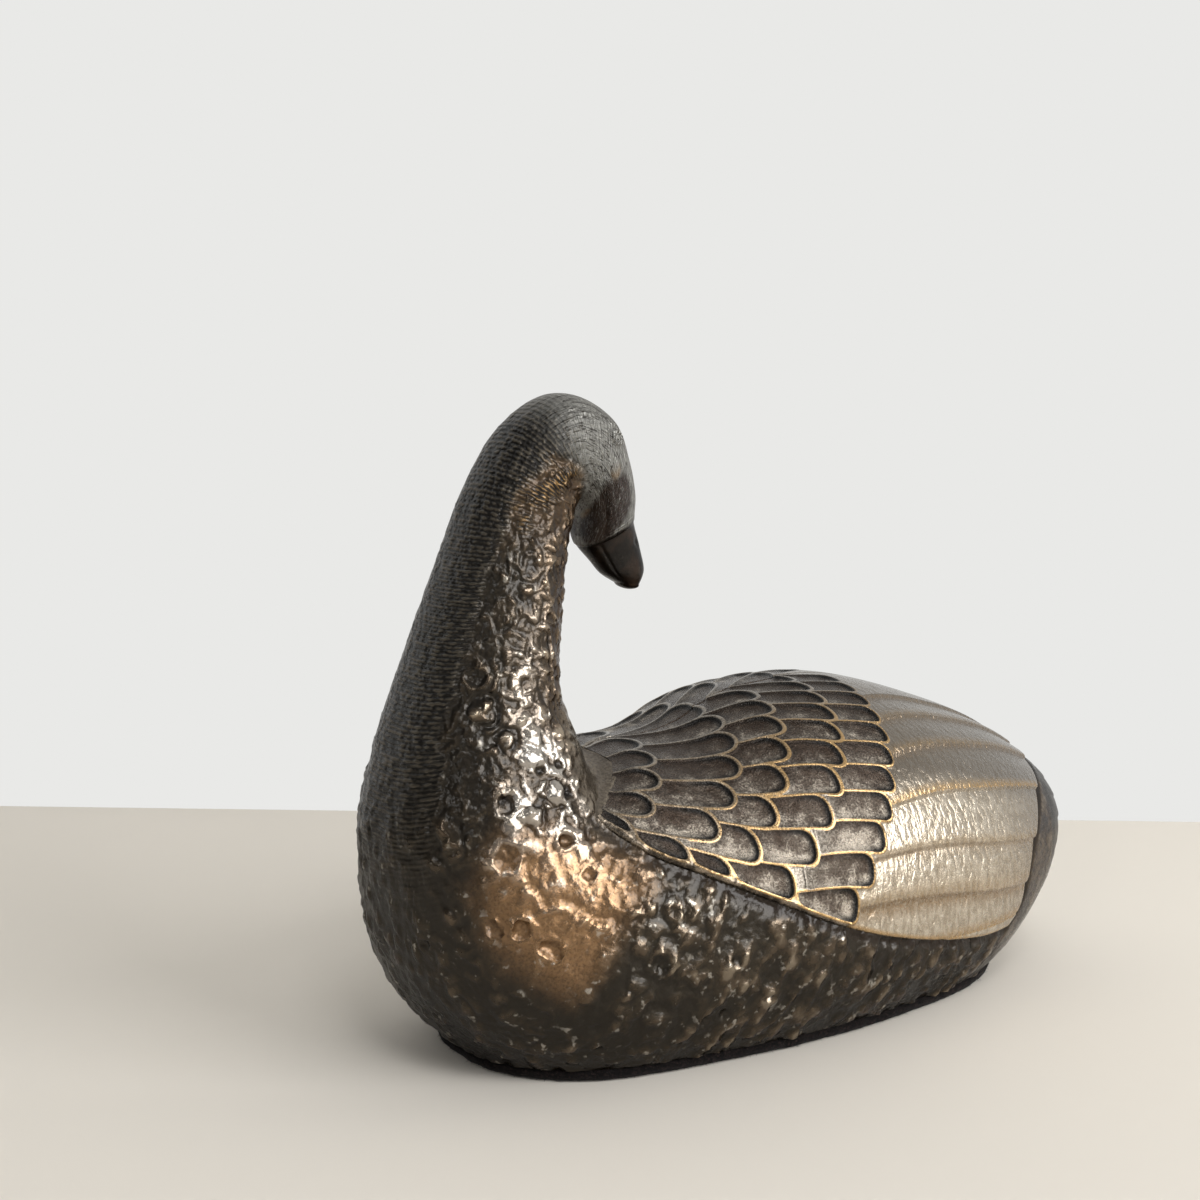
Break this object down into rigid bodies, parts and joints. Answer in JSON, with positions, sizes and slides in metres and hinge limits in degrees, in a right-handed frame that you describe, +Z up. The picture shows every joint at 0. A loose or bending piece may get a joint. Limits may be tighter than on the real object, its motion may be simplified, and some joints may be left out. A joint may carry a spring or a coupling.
{
  "type": "metal waterfowl decoy figure",
  "caption": "Cast metal waterfowl figure with a long hooked neck, head turned over its back, relief feathers on folded wings and a felt base.",
  "frame": {"origin": "on the surface that the felt rests on, under the middle of the figure's bounding box", "axes": "+X from the breast towards the tail, -Y towards the bird's left wing, +Z up"},
  "size_m": [0.2191, 0.1058, 0.1662],
  "materials": {
    "patinated_bronze": "dark brown patina on a hammered casting, rubbed to gold brown on the high places",
    "rubbed_bronze": "dark pockets with rubbed golden rims, satin light bronze on the long feathers",
    "plate_steel": "plain mill finish",
    "screw_steel": "zinc plated",
    "felt": "dark brown wool felt"
  },
  "bodies": {
    "root": {"body_casting": "patinated_bronze", "neck_and_head_casting": "patinated_bronze", "left_wing_casting": "rubbed_bronze", "right_wing_casting": "rubbed_bronze", "base_plate": "plate_steel", "base_screw_1": "screw_steel", "base_screw_2": "screw_steel", "base_screw_3": "screw_steel", "base_screw_4": "screw_steel", "felt_pad": "felt"}
  },
  "joints": []
}
